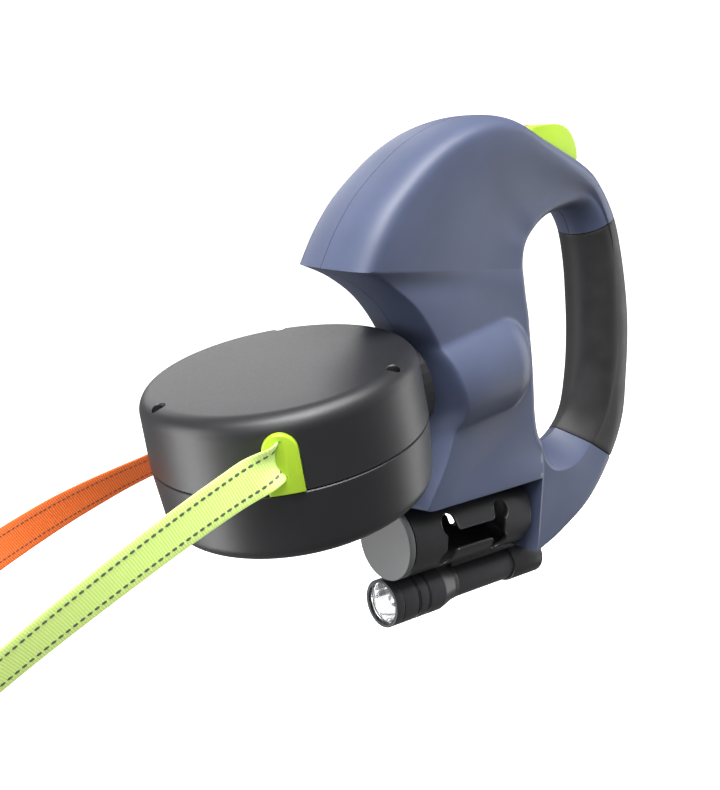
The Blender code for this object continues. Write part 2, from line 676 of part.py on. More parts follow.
def make_hook(colour, route):
    """A swivel snap hook on the end of the webbing: eye, body and sliding bolt."""
    middle, run, wide = strap_frames(route)[-1]
    flat = run.cross(wide).normalized()
    base = middle + run * 1.2

    def place(u, v, w):
        return tuple(base + run * u + wide * v + flat * w)

    def bar(outline, thick):
        return prism(outline, -thick / 2, thick / 2, place)

    eye = node(f"{colour}_hook_eye", *bar([(0, -10), (3.4, -10), (3.4, 10), (0, 10)], 3.0), "zinc_chrome",
               place(0, 0, 0))
    for sign in (-1, 1):
        join(eye, bar([(0.5, sign * 10), (0.5, sign * 6.6), (13, sign * 2.2), (14, sign * 5.6)], 3.0))
    join(eye, bar([(11.5, -5.4), (15, -5.4), (15, 5.4), (11.5, 5.4)], 3.0))
    stud = [(0, 13.5), (1.9, 13.5), (1.9, 20.5), (3.2, 20.5), (3.2, 22.5), (0, 22.5)]
    join(eye, turned(stud, 12, base, run))
    barrel = [(2.3, 16.0), (4.6, 16.0), (5.0, 19.0), (5.0, 28.0), (0, 28.0), (0, 24.0), (3.6, 24.0),
              (3.6, 20.0), (2.3, 20.0)]
    body = node(f"{colour}_hook_body", *turned(barrel, 14, base, run, closed=True), "zinc_chrome",
                place(18, 0, 0))
    outline = [(27, -4), (27, 4), (33, 5.5), (38, 9), (46, 9.5), (53, 6), (56, 0), (53, -6.2), (48.2, -8.6),
               (48.2, -5.2), (50.6, -3.6), (52, 0), (49.8, 4), (45.5, 6), (39.5, 5.6), (35, 2.4), (33, -1.2),
               (33, -4.2)]
    join(body, bar(outline, 4.4))
    bolt = node(f"{colour}_hook_bolt", *bar([(33.4, -8.0), (47.9, -8.0), (47.9, -5.6), (33.4, -5.6)], 3.6),
                "zinc_chrome", place(40, -6.8, 0))
    join(bolt, bar([(35.5, -11.2), (38.5, -11.2), (38.5, -7.5), (35.5, -7.5)], 3.2))


# ---- waste-bag tube ---------------------------------------------------------------------------
def tube_box(a, b, low, high, half):
    outline = [(a, low), (b, low), (b, high), (a, high)]
    return prism(outline, -half, half, lambda u, v, w: along(TUBE_FRONT, TUBE_TILT, u, v, w))


def tube_rib(grow):
    return tube_box(28 - grow, 66 + grow, TUBE_RADIUS - 1.4, TUBE_RADIUS + 7.0 + grow, 3.0 + grow)


def tube_spigot(grow):
    start = along(TUBE_FRONT, TUBE_TILT, TUBE_LENGTH - 1.4)
    end = along(TUBE_FRONT, TUBE_TILT, TUBE_LENGTH + 6 + grow)
    return rod(6.0 + grow, start, end, 16)


def bone(length=43.0, half_waist=4.8, lobe=4.8):
    """Outline of the bone-shaped window in (distance, height)."""
    points = []
    for sign_u, sign_v, first in ((1, -1, -150), (1, 1, -60), (-1, 1, 30), (-1, -1, 120)):
        centre = (sign_u * (length / 2 - lobe), sign_v * (lobe + 2.8))
        for i in range(6):
            a = radians(first + 210 * i / 5)
            points.append((centre[0] + lobe * cos(a), centre[1] + lobe * sin(a)))
        if sign_u * sign_v > 0:
            edge = sign_v * half_waist
            points.append((sign_u * (length / 2 - 2.1 * lobe), edge))
            points.append((-sign_u * (length / 2 - 2.1 * lobe), edge))
    return points


def make_bag_tube():
    def put(distance, height=0.0, side=0.0):
        return along(TUBE_FRONT, TUBE_TILT, distance, height, side)
    axis = (cos(TUBE_TILT), 0, -sin(TUBE_TILT))
    wall = 1.6
    profile = [(TUBE_RADIUS - wall, 4.0), (TUBE_RADIUS, 4.0), (TUBE_RADIUS, TUBE_LENGTH - 4.5),
               (TUBE_RADIUS - 1.2, TUBE_LENGTH - 1.5), (TUBE_RADIUS - 4, TUBE_LENGTH - 0.6),
               (0, TUBE_LENGTH - 0.6), (0, TUBE_LENGTH - 2.2), (TUBE_RADIUS - 5, TUBE_LENGTH - 2.2),
               (TUBE_RADIUS - wall, TUBE_LENGTH - 5.0)]
    tube = node("bag_tube", *turned(profile, 28, TUBE_FRONT, axis, closed=True), "black_plastic")
    join(tube, tube_rib(0), tube_spigot(0))
    near = prism(bone(), -40, 0, lambda u, v, w: put(41.5 + u, v, w))
    far = prism(bone(38.0, 3.4, 3.2), 1, 40, lambda u, v, w: put(41.5 + u, v, w))
    cut(tube, near, far)
    cap = node("bag_tube_cap", *turned([(TUBE_RADIUS, 0.6), (TUBE_RADIUS - 0.6, 0.0), (0, 0.0),
                                        (0, 2.0), (TUBE_RADIUS - 3.6, 2.0), (TUBE_RADIUS - 3.6, 9.0),
                                        (TUBE_RADIUS - 2.0, 9.0), (TUBE_RADIUS - 2.0, 3.6),
                                        (TUBE_RADIUS, 3.6)], 28, TUBE_FRONT, axis, closed=True),
               "grey_plastic", TUBE_FRONT)
    return tube, cap


# ---- torch ------------------------------------------------------------------------------------
def torch_ring(profile, segments=20):
    axis = (cos(TORCH_TILT), 0, -sin(TORCH_TILT))
    return turned(profile, segments, TORCH_FRONT, axis, closed=True)


def make_torch():
    def part(name, profile, finish, segments=20):
        return node(name, *torch_ring(profile, segments), finish, TORCH_FRONT)

    head, body = TORCH_HEAD, TORCH_BODY
    part("torch_bezel", [(head - 1.6, 0), (head - 0.3, 0), (head, 0.4), (head, 4.6), (head - 1.2, 4.6),
                         (head - 1.2, 1.6), (head - 1.6, 1.6)], "torch_aluminium")
    part("torch_lens", [(0, 1.8), (head - 1.5, 1.8), (head - 1.5, 3.4), (0, 3.4)], "clear_lens")
    part("torch_reflector", [(2.3, 15.5), (3.4, 15.5), (7.4, 9.5), (9.0, 3.8), (9.6, 3.8), (9.6, 5.4),
                             (8.4, 11.5), (5.0, 17.5), (2.3, 17.5)], "reflector_chrome", 24)
    part("torch_led_board", [(0, 14.6), (1.9, 14.6), (1.9, 17.9), (6.8, 17.9), (6.8, 19.4),
                             (0, 19.4)], "board_white", 20)
    part("torch_head", [(head - 1.0, 4.9), (head, 4.9), (head, 13.0), (head - 1.0, 13.3), (head - 1.0, 14.7),
                        (head, 15.0), (head, 19.0), (head - 1.0, 19.3), (head - 1.0, 20.7), (head, 21.0),
                        (head, 31.0), (body + 0.4, 38.5), (body + 0.4, 41.0), (body - 1.0, 41.0),
                        (body - 1.0, 20.0), (head - 1.0, 17.0)], "torch_aluminium")
    part("torch_battery", [(0, 42.5), (5.2, 42.5), (5.2, 82.0), (0, 82.0)], "steel", 16)
    part("torch_body", [(body - 1.9, 41.3), (body, 41.3), (body, 86.6), (body - 0.6, 87.0),
                        (body - 1.9, 87.0)], "torch_aluminium")
    part("torch_tail_cap", [(4.2, 87.4), (body, 87.4), (body, 101.2), (body - 0.8, 102.0), (4.2, 102.0)],
         "torch_aluminium")
    part("torch_switch", [(0, 95.5), (3.8, 95.5), (3.8, 100.8), (2.6, 101.7), (0, 101.7)],
         "grip_rubber", 18)
    ring = [(body + 0.35, 79.0), (body + 1.1, 79.0), (body + 1.1, 100.0), (body + 0.35, 100.0)]
    holder = node("torch_holder", *torch_ring(ring), "black_plastic")
    saddle = torch_block(40.0, 82.5, TORCH_BODY + 0.5, TORCH_BODY + 3.6, 3.4)
    link = torch_block(81.5, 92.0, TORCH_BODY + 0.45, TORCH_BODY + 1.45, 2.6)
    join(holder, link, saddle, torch_stem(0))


def torch_block(start, end, low, high, half):
    outline = [(start, low), (end, low), (end, high), (start, high)]
    return prism(outline, -half, half, lambda u, v, w: along(TORCH_FRONT, TORCH_TILT, u, v, w))


def torch_stem(grow):
    """The holder's foot, which goes up between the shells; grow widens it for their slot."""
    return torch_block(90.6 - grow, 97.2 + grow, TORCH_BODY + 1.2, TORCH_BODY + 15.0 + grow, 3.0 + grow)


# ---- assembly ---------------------------------------------------------------------------------
def main():
    clear_scene()
    make_shells()
    make_handle_screws()
    make_sleeve()
    make_swivel()
    make_swivel_ring()
    make_brakes()
    make_drum()
    for colour in OUTLETS:
        make_outlet(colour)
    make_spools()
    make_strap("green", GREEN_ROUTE)
    make_strap("orange", ORANGE_ROUTE)
    make_bag_tube()
    make_torch()
    for obj in bpy.data.objects:
        obj.location -= Vector(GRIP_CENTRE) * MM
    bpy.context.view_layer.update()


main()
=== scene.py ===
"""Looks of the two-dog retractable leash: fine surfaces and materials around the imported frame.

Lengths are written in millimetres from the drum's centre, with +X along the swivel axis back into the
handle and +Z up the spool axle. world() turns such a point into the frame's metres.
"""
import json
from math import ceil, cos, hypot, pi, radians, sin, sqrt

import bmesh
import bpy
from mathutils import Matrix, Vector

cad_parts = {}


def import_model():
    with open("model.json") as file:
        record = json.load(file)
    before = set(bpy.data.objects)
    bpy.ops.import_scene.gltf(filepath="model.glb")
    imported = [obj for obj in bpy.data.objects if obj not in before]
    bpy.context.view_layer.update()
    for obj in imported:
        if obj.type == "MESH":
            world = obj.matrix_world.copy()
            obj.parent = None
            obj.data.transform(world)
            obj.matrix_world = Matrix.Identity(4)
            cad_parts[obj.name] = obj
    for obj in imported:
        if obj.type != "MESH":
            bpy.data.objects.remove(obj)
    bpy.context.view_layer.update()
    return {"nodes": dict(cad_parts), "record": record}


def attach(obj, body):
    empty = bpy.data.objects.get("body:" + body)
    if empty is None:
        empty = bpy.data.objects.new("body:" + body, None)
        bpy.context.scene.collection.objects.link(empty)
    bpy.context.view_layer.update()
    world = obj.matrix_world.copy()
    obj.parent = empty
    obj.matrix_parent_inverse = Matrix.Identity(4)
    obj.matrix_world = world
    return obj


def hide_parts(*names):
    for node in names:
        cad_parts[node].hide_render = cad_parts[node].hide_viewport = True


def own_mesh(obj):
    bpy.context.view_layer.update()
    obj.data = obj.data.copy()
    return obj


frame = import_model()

MM = 0.001
GAP = 0.3
GRIP_CENTRE = Vector((192.5, 0.0, -2.0))
DRUM_RADIUS = 55.0
DRUM_HALF = 27.7
DRUM_WALL = 2.6
FRONT_RADIUS = 63.5
SHELL_WALL = 2.6
SLEEVE_WALL = 2.2
WEBBING_WIDTH = 15.0
WEBBING_THICK = 1.3
WEBBING_LEVEL = 13.4
TUBE_TILT = radians(13)
TUBE_RADIUS = 17.5
TUBE_FRONT = (36.4, 0.0, -69.3)
TUBE_LENGTH = 81.8
TORCH_FRONT = (29.6, 0.0, -98.2)
TORCH_HEAD = 11.0
TORCH_BODY = 8.2
DOWN_AXIS = Vector((cos(TUBE_TILT), 0, -sin(TUBE_TILT)))
CAMERA_PLACE = (-0.354585, -0.277148, 0.135294)


def world(point):
    return (Vector(point) - GRIP_CENTRE) * MM


# ---- camera -----------------------------------------------------------------------------------
def make_camera():
    azimuth, elevation, roll = radians(-35.6), radians(21.1), radians(-9.2)
    back = Vector((sin(azimuth) * cos(elevation), -cos(azimuth) * cos(elevation), sin(elevation)))
    level = Vector((cos(azimuth), sin(azimuth), 0))
    rise = back.cross(level)
    right = cos(roll) * level + sin(roll) * rise
    up = cos(roll) * rise - sin(roll) * level
    camera = bpy.data.objects.new("camera", bpy.data.cameras.new("camera"))
    placed = Matrix((right, up, back)).transposed().to_4x4()
    placed.translation = CAMERA_PLACE
    camera.matrix_world = placed
    camera.data.sensor_fit = "VERTICAL"
    camera.data.sensor_height = 36.0
    camera.data.lens = 40.1
    camera.data.clip_start = 0.01
    bpy.context.scene.collection.objects.link(camera)
    bpy.context.scene.camera = camera


# ---- materials --------------------------------------------------------------------------------
class Graph:
    """A material's node tree, with a short way to add and link nodes."""

    def __init__(self, name):
        self.material = bpy.data.materials.new(name)
        self.material.use_nodes = True
        self.tree = self.material.node_tree
        self.shader = self.tree.nodes["Principled BSDF"]

    def add(self, kind, inputs=None, **settings):
        made = self.tree.nodes.new("ShaderNode" + kind)
        for key, value in settings.items():
            setattr(made, key, value)
        for key, value in (inputs or {}).items():
            self.feed(made.inputs[key], value)
        return made

    def feed(self, socket, value):
        if isinstance(value, bpy.types.NodeSocket):
            self.tree.links.new(value, socket)
        else:
            socket.default_value = value

    def set(self, **inputs):
        for key, value in inputs.items():
            self.feed(self.shader.inputs[key.replace("_", " ")], value)

    def place(self):
        return self.add("TexCoord").outputs["Object"]

    def noise(self, scale, detail=4.0, where=None, roughness=0.5):
        inputs = {"Vector": where or self.place(), "Scale": scale, "Detail": detail, "Roughness": roughness}
        return self.add("TexNoise", inputs).outputs["Fac"]

    def spread(self, value, low, high, start=0.3, end=0.7):
        inputs = {"Value": value, "From Min": start, "From Max": end, "To Min": low, "To Max": high}
        return self.add("MapRange", inputs).outputs["Result"]

    def blend(self, factor, first, second):
        mix = self.add("Mix", data_type="RGBA")
        self.feed(mix.inputs["Factor"], factor)
        self.feed(mix.inputs["A"], (*first, 1))
        self.feed(mix.inputs["B"], (*second, 1))
        return mix.outputs["Result"]

    def bump(self, height, strength, distance, normal=None):
        inputs = {"Height": height, "Strength": strength, "Distance": distance}
        if normal is not None:
            inputs["Normal"] = normal
        return self.add("Bump", inputs).outputs["Normal"]


def shade(colour, factor):
    return tuple(min(c * factor, 1.0) for c in colour)


def moulded(name, colour, roughness, grain, depth, coat=0.0):
    """Injection-moulded plastic: a fine spark-eroded grain, faint flow mottling and uneven gloss."""
    g = Graph(name)
    mottle = g.noise(45.0, 3.0)
    grit = g.noise(grain, 5.0, roughness=0.65)
    g.set(Base_Color=g.blend(g.spread(mottle, 0, 1), shade(colour, 0.93), shade(colour, 1.07)))
    g.set(Roughness=g.spread(grit, roughness - 0.05, roughness + 0.07))
    g.set(Normal=g.bump(grit, depth, 0.00012))
    g.set(Coat_Weight=coat, Coat_Roughness=0.25)
    return g.material


def rubber(name, colour):
    g = Graph(name)
    dust = g.noise(90.0, 6.0)
    pores = g.add("TexVoronoi", {"Vector": g.place(), "Scale": 1500.0}).outputs["Distance"]
    g.set(Base_Color=g.blend(g.spread(dust, 0, 1), colour, shade(colour, 1.5)))
    g.set(Roughness=g.spread(dust, 0.52, 0.64))
    g.set(Normal=g.bump(pores, 0.25, 0.0001))
    return g.material


def webbing(name, colour, groove, painted_glow):
    """Woven nylon tape: ribs are in the mesh, the threads that cross them are here, the grooves between ribs
    get painted shade and the tape a painted glow.
    """
    g = Graph(name)
    lie = g.add("UVMap", uv_map="tape").outputs["UV"]
    split = g.add("SeparateXYZ", {"Vector": lie})
    along, across = split.outputs["X"], split.outputs["Y"]
    rib = g.add("Math", {0: along, 1: 2 * pi}, operation="MULTIPLY").outputs[0]
    rib = g.add("Math", {0: rib}, operation="COSINE").outputs[0]
    thread = g.add("Math", {0: across, 1: 2 * pi * 26}, operation="MULTIPLY").outputs[0]
    thread = g.add("Math", {0: thread}, operation="COSINE").outputs[0]
    fuzz = g.noise(1400.0, 6.0, roughness=0.7)
    # painted shade: the grooves between the ribs are painted darker than the rib tops
    painted_groove_shade = g.blend(g.spread(rib, 0, 1, -0.9, 0.4), groove, colour)
    fibres = g.add("Mix", data_type="RGBA")
    g.feed(fibres.inputs["A"], painted_groove_shade)
    g.feed(fibres.inputs["B"], (*shade(colour, 0.75), 1))
    g.feed(fibres.inputs["Factor"], g.spread(fuzz, 0.0, 0.45))
    weave = g.add("Math", {0: thread, 1: 0.35, 2: fuzz}, operation="MULTIPLY_ADD").outputs[0]
    g.set(Base_Color=fibres.outputs["Result"])
    g.set(Roughness=g.spread(fuzz, 0.62, 0.85))
    g.set(Normal=g.bump(weave, 0.5, 0.00012))
    # painted glow: the tape emits its own colour although it is no lamp
    g.set(Sheen_Weight=0.35, Sheen_Roughness=0.4, Emission_Strength=painted_glow)
    g.shader.inputs["Emission Color"].default_value = (*colour, 1)
    return g.material


def thread_finish(name, colour, gleam):
    g = Graph(name)
    twist = g.add("TexWave", {"Vector": g.place(), "Scale": 900.0, "Distortion": 2.0}).outputs["Fac"]
    g.set(Base_Color=g.blend(twist, shade(colour, 0.7), shade(colour, 1.25)))
    g.set(Roughness=g.spread(twist, 0.4, 0.6), Metallic=gleam)
    g.set(Normal=g.bump(twist, 0.5, 0.0001))
    return g.material


def metal(name, colour, roughness, brush=0.15, metallic=1.0):
    g = Graph(name)
    smear = g.noise(220.0, 8.0, roughness=0.7)
    g.set(Base_Color=g.blend(smear, shade(colour, 0.88), shade(colour, 1.08)), Metallic=metallic)
    g.set(Roughness=g.spread(smear, max(roughness - 0.06, 0.03), roughness + 0.08))
    g.set(Normal=g.bump(g.noise(1800.0, 3.0), brush, 0.00005))
    return g.material


def glass(name):
    g = Graph(name)
    haze = g.noise(160.0, 5.0)
    g.set(Base_Color=(0.97, 0.98, 1.0, 1), Roughness=g.spread(haze, 0.0, 0.05), IOR=1.49)
    g.set(Transmission_Weight=1.0)
    return g.material


def emitter_finish(name):
    """Phosphor of the LED, unlit."""
    g = Graph(name)
    grit = g.noise(2500.0, 4.0)
    g.set(Base_Color=g.blend(grit, (0.85, 0.72, 0.20), (0.95, 0.86, 0.40)))
    g.set(Roughness=g.spread(grit, 0.25, 0.4))
    return g.material


NAVY = (0.062, 0.077, 0.136)
BLACK = (0.014, 0.014, 0.016)
LIME = (0.40, 0.62, 0.028)
ORANGE = (0.90, 0.17, 0.012)


def make_materials():
    return {
        "navy_plastic": moulded("navy_plastic", NAVY, 0.47, 2600.0, 0.16),
        "black_plastic": moulded("black_plastic", BLACK, 0.40, 2200.0, 0.22),
        "grip_rubber": rubber("grip_rubber", (0.014, 0.014, 0.015)),
        "green_plastic": moulded("green_plastic", LIME, 0.34, 1500.0, 0.06, 0.3),
        "orange_plastic": moulded("orange_plastic", ORANGE, 0.34, 1500.0, 0.06, 0.3),
        # each webbing's second colour is painted shade for its grooves, and its last number is a painted glow
        "green_webbing": webbing("green_webbing", (0.76, 0.98, 0.30), (0.46, 0.72, 0.10), 0.28),
        "orange_webbing": webbing("orange_webbing", (0.86, 0.16, 0.018), (0.42, 0.05, 0.006), 0.24),
        "green_stitching": thread_finish("green_stitching", (0.16, 0.19, 0.13), 0.25),
        "orange_stitching": thread_finish("orange_stitching", (0.11, 0.07, 0.06), 0.2),
        "grey_plastic": moulded("grey_plastic", (0.110, 0.112, 0.115), 0.48, 2400.0, 0.16),
        "torch_aluminium": metal("torch_aluminium", (0.030, 0.030, 0.033), 0.36, 0.25, 0.0),
        "clear_lens": glass("clear_lens"),
        "reflector_chrome": metal("reflector_chrome", (0.90, 0.90, 0.90), 0.08, 0.02),
        "steel": metal("steel", (0.58, 0.58, 0.60), 0.30, 0.30),
        "zinc_chrome": metal("zinc_chrome", (0.74, 0.74, 0.76), 0.14, 0.10),
        "white_nylon": moulded("white_nylon", (0.74, 0.73, 0.68), 0.42, 1800.0, 0.10),
        "brass": metal("brass", (0.72, 0.52, 0.22), 0.28, 0.30),
        "board_white": moulded("board_white", (0.78, 0.78, 0.75), 0.45, 1600.0, 0.10),
        "led_phosphor": emitter_finish("led_phosphor"),
    }


# ---- building blocks --------------------------------------------------------------------------
def piece(name, verts, faces, finish, body, replaced=(), slot=None, sharp=38):
    """A named mesh from points in mm, smoothed, finished and riding on a body."""
    mesh = bpy.data.meshes.new(name)
    mesh.from_pydata([world(v) for v in verts], [], faces)
    tidy = bmesh.new()
    tidy.from_mesh(mesh)
    bmesh.ops.recalc_face_normals(tidy, faces=tidy.faces)
    tidy.to_mesh(mesh)
    tidy.free()
    mesh.shade_smooth()
    mesh.set_sharp_from_angle(angle=radians(sharp))
    obj = bpy.data.objects.new(name, mesh)
    bpy.context.scene.collection.objects.link(obj)
    if finish:
        mesh.materials.append(FINISHES[finish])
        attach(obj, body)
        slot or finish
        if replaced:
            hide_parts(*replaced)
    return obj


def skin(rings, closed_path=False, caps=True):
    """Vertices and faces of a surface through equal closed rings."""
    count = len(rings[0])
    verts = [p for ring in rings for p in ring]
    faces = []
    for i in range(len(rings) if closed_path else len(rings) - 1):
        a, b = i * count, (i + 1) % len(rings) * count
        for j in range(count):
            k = (j + 1) % count
            faces.append((a + j, a + k, b + k, b + j))
    if caps and not closed_path:
        last = (len(rings) - 1) * count
        faces += [tuple(range(count))[::-1], tuple(last + j for j in range(count))]
    return verts, faces


def soften(points, radius, steps=4, closed=False):
    """Rounds the corners of a line of (u, v) points."""
    out = []
    for i, point in enumerate(points):
        if not closed and i in (0, len(points) - 1):
            out.append(point)
            continue
        corner = Vector(point)
        into = Vector(points[i - 1]) - corner
        away = Vector(points[(i + 1) % len(points)]) - corner
        size = min(radius, 0.45 * into.length, 0.45 * away.length)
        start, end = corner + into.normalized() * size, corner + away.normalized() * size
        for s in range(steps + 1):
            t = s / steps
            out.append(tuple(start * (1 - t) ** 2 + corner * 2 * t * (1 - t) + end * t * t))
    return out


def turned(profile, centre=(0, 0, 0), axis=(0, 0, 1), segments=96, ring=False):
    """A profile of (radius, height) turned about an axis, as a ring or as a solid from pole to pole."""
    turn = Vector((0, 0, 1)).rotation_difference(Vector(axis)).to_matrix()
    centre = Vector(centre)

    def circle(radius, height):
        angles = [2 * pi * i / segments for i in range(segments)]
        return [turn @ Vector((radius * cos(a), radius * sin(a), height)) + centre for a in angles]

    if ring:
        return skin([circle(*p) for p in profile], closed_path=True)
    verts, faces = skin([circle(*p) for p in profile[1:-1]], caps=False)
    tip, tail, last = len(verts), len(verts) + 1, len(verts) - segments
    for j in range(segments):
        k = (j + 1) % segments
        faces += [(tip, k, j), (tail, last + j, last + k)]
    ends = [turn @ Vector((0, 0, height)) + centre for height in (profile[0][1], profile[-1][1])]
    return verts + ends, faces


def rod(radius, start, end, segments=48):
    span = Vector(end) - Vector(start)
    return turned([(0, 0), (radius, 0), (radius, span.length), (0, span.length)], start,
                  span.normalized(), segments)


def prism(outline, low, high, place):
    return skin([[place(u, v, w) for u, v in outline] for w in (low, high)])


def sweep(path, radius, sides=8, closed=False):
    """A round bead along a path of points."""
    rings = []
    count = len(path)
    for i, point in enumerate(path):
        before = path[i - 1] if closed or i else path[i]
        after = path[(i + 1) % count] if closed or i < count - 1 else path[i]
        run = (Vector(after) - Vector(before)).normalized()
        across = run.cross(Vector((0.31, 0.42, 0.85))).normalized()
        other = run.cross(across)
        rings.append([Vector(point) + (across * cos(a) + other * sin(a)) * radius
                      for a in (2 * pi * j / sides for j in range(sides))])
    return skin(rings, closed_path=closed)


def merged(*shapes):
    """Several separate shapes as one set of vertices and faces."""
    verts, faces = [], []
    for more_verts, more_faces in shapes:
        faces += [tuple(i + len(verts) for i in face) for face in more_faces]
        verts += list(more_verts)
    return verts, faces


def settle(obj):
    """Applies an object's modifiers."""
    bpy.context.view_layer.update()
    graph = bpy.context.evaluated_depsgraph_get()
    mesh = bpy.data.meshes.new_from_object(obj.evaluated_get(graph))
    obj.modifiers.clear()
    old = obj.data
    obj.data = mesh
    bpy.data.meshes.remove(old)


def carve(obj, shape, operation="DIFFERENCE", sharp=38):
    """Cuts a shape out of an object, or keeps what they share."""
    tool = piece("tool", *shape, None, None)
    step = obj.modifiers.new("carve", "BOOLEAN")
    step.operation = operation
    step.solver = "EXACT"
    step.object = tool
    settle(obj)
    bpy.data.objects.remove(tool, do_unlink=True)
    obj.data.shade_smooth()
    obj.data.set_sharp_from_angle(angle=radians(sharp))


def round_edges(obj, width, segments=3, angle=35):
    bevel = obj.modifiers.new("round", "BEVEL")
    bevel.width = width * MM
    bevel.segments = segments
    bevel.limit_method = "ANGLE"
    bevel.angle_limit = radians(angle)
    bevel.use_clamp_overlap = True
    settle(obj)
    obj.data.shade_smooth()
    obj.data.set_sharp_from_angle(angle=radians(60))


def refined(node, width, body, finish):
    """A CAD node's shape with its edges rounded, standing for that node."""
    mesh = frame["nodes"][node].data.copy()
    mesh.materials.clear()
    mesh.materials.append(FINISHES[finish])
    obj = bpy.data.objects.new(node + "_fine", mesh)
    bpy.context.scene.collection.objects.link(obj)
    if width:
        tidy = bmesh.new()
        tidy.from_mesh(mesh)
        bmesh.ops.remove_doubles(tidy, verts=tidy.verts, dist=0.00001)
        bmesh.ops.dissolve_limit(tidy, angle_limit=radians(1.5), verts=tidy.verts, edges=tidy.edges)
        tidy.to_mesh(mesh)
        tidy.free()
        round_edges(obj, width)
    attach(obj, body)
    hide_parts(node)
    return obj


def spline(rows, per_span):
    """Catmull-Rom rows through the given rows, the last row left out."""
    out = []
    for i in range(len(rows) - 1):
        p0, p1, p2 = rows[max(i - 1, 0)], rows[i], rows[i + 1]
        p3 = rows[min(i + 2, len(rows) - 1)]
        for s in range(per_span):
            t = s / per_span
            out.append(tuple(0.5 * (2 * b + (c - a) * t + (2 * a - 5 * b + 4 * c - d) * t * t
                                    + (3 * b - a - 3 * c + d) * t ** 3)
                             for a, b, c, d in zip(p0, p1, p2, p3)))
    return out


def ease(t):
    t = min(max(t, 0.0), 1.0)
    return t * t * (3 - 2 * t)


# ---- webbing ----------------------------------------------------------------------------------
# Points down the middle of each free webbing, and the twist of its width away from upright.
GREEN_ROUTE = [((-31.4, -42.7, 13.4), 0), ((-34.0, -45.8, 13.2), 2), ((-38.1, -45.6, 12.0), 4),
               ((-47.2, -42.3, 8.8), 2), ((-58.1, -40.4, 5.6), -1), ((-72.6, -37.8, 0.9), -5),
               ((-87.2, -35.3, -4.2), -8), ((-101.7, -32.7, -9.6), -12), ((-116.3, -30.1, -15.3), -16),
               ((-130.9, -27.6, -21.4), -20), ((-145.4, -25.0, -28.0), -24), ((-160.0, -22.4, -34.8), -28)]
ORANGE_ROUTE = [((-23.5, 47.5, -13.4), 0), ((-25.5, 51.0, -13.5), -6), ((-29.6, 52.3, -13.9), -16),
                ((-36.5, 55.0, -14.9), -30), ((-49.4, 59.7, -17.5), -26), ((-62.4, 64.4, -20.7), -17),
                ((-75.3, 69.2, -24.5), -8), ((-88.3, 73.9, -29.1), 0), ((-101.2, 78.6, -34.2), 9),
                ((-114.2, 83.3, -40.0), 18), ((-125.4, 87.4, -45.6), 25)]
RIB_PITCH = 0.95
CURL_ANGLE = 0.85               # how far the webbing curls across its width in the outlet's slot
CURL_LENGTH = 11.0


class Tape:
    """The webbing's smooth middle line, with its width and normal directions."""

    def __init__(self, route):
        rows = [(*point, twist) for point, twist in route]
        self.rows = spline(rows, 24) + [rows[-1]]
        self.lengths = [0.0]
        for a, b in zip(self.rows, self.rows[1:]):
            self.lengths.append(self.lengths[-1] + (Vector(b[:3]) - Vector(a[:3])).length)
        self.length = self.lengths[-1]

    def row(self, distance):
        """The row at a distance along the tape, read between its neighbours."""
        distance = min(max(distance, 0.0), self.length)
        low, high = 0, len(self.rows) - 1
        while high - low > 1:
            middle = (low + high) // 2
            low, high = (middle, high) if self.lengths[middle] <= distance else (low, middle)
        t = (distance - self.lengths[low]) / max(self.lengths[high] - self.lengths[low], 1e-9)
        return [a + (b - a) * t for a, b in zip(self.rows[low], self.rows[high])]

    def frame(self, distance):
        row = self.row(distance)
        run = (Vector(self.row(distance + 1)[:3]) - Vector(self.row(distance - 1)[:3])).normalized()
        across = run.cross(Vector((0, 0, 1))).normalized()
        up = across.cross(run)
        twist = radians(row[3])
        wide = up * cos(twist) + run.cross(up) * sin(twist)
        return Vector(row[:3]), run, wide, run.cross(wide).normalized()

    def point(self, distance, side, lift):
        """A point at a place across the width, from -1 to 1, and at a height over the middle line."""
        middle, _, wide, flat = self.frame(distance)
        curl = CURL_ANGLE * (1 - ease((distance - 4.0) / CURL_LENGTH)) + 0.001
        radius = WEBBING_WIDTH / 2 / curl
        angle = side * curl
        sag = radius * (cos(angle) - 0.5 * cos(curl) - 0.5)
        over = wide * (radius * sin(angle)) + flat * (sag * self.bend)
        normal = flat * cos(angle) + wide * sin(angle) * self.bend
        return middle + over + normal * lift


def make_webbing(colour, route, bend):
    tape = Tape(route)
    tape.bend = bend
    across = [cos(pi * i / 12) for i in range(13)]
    steps = ceil(tape.length / RIB_PITCH) * 4
    rings, uvs = [], []
    for i in range(steps + 1):
        distance = tape.length * i / steps
        rib = 0.5 + 0.5 * cos(2 * pi * distance / RIB_PITCH)
        ring, uv = [], []
        for face in (1, -1):
            for side in (across if face > 0 else across[::-1])[:-1]:
                edge = sqrt(max(1 - abs(side) ** 14, 0.0))
                lift = face * WEBBING_THICK / 2 * (0.80 + 0.20 * rib) * edge
                ring.append(tape.point(distance, side, lift))
                uv.append((distance / RIB_PITCH, side * 0.5 + 0.5))
        rings.append(ring)
        uvs += uv
    verts, faces = skin(rings)
    strap = piece(f"{colour}_webbing_tape", verts, faces, f"{colour}_webbing", "head", [f"{colour}_strap"])
    layer = strap.data.uv_layers.new(name="tape")
    for loop in strap.data.loops:
        layer.data[loop.index].uv = uvs[loop.vertex_index]
    make_stitching(colour, tape)
    path = [world(tape.frame(tape.length * i / 60)[0]) for i in range(61)]


STITCHES = {"green": (2.66, 1.95, 0.50), "orange": (2.1, 1.6, 0.30)}


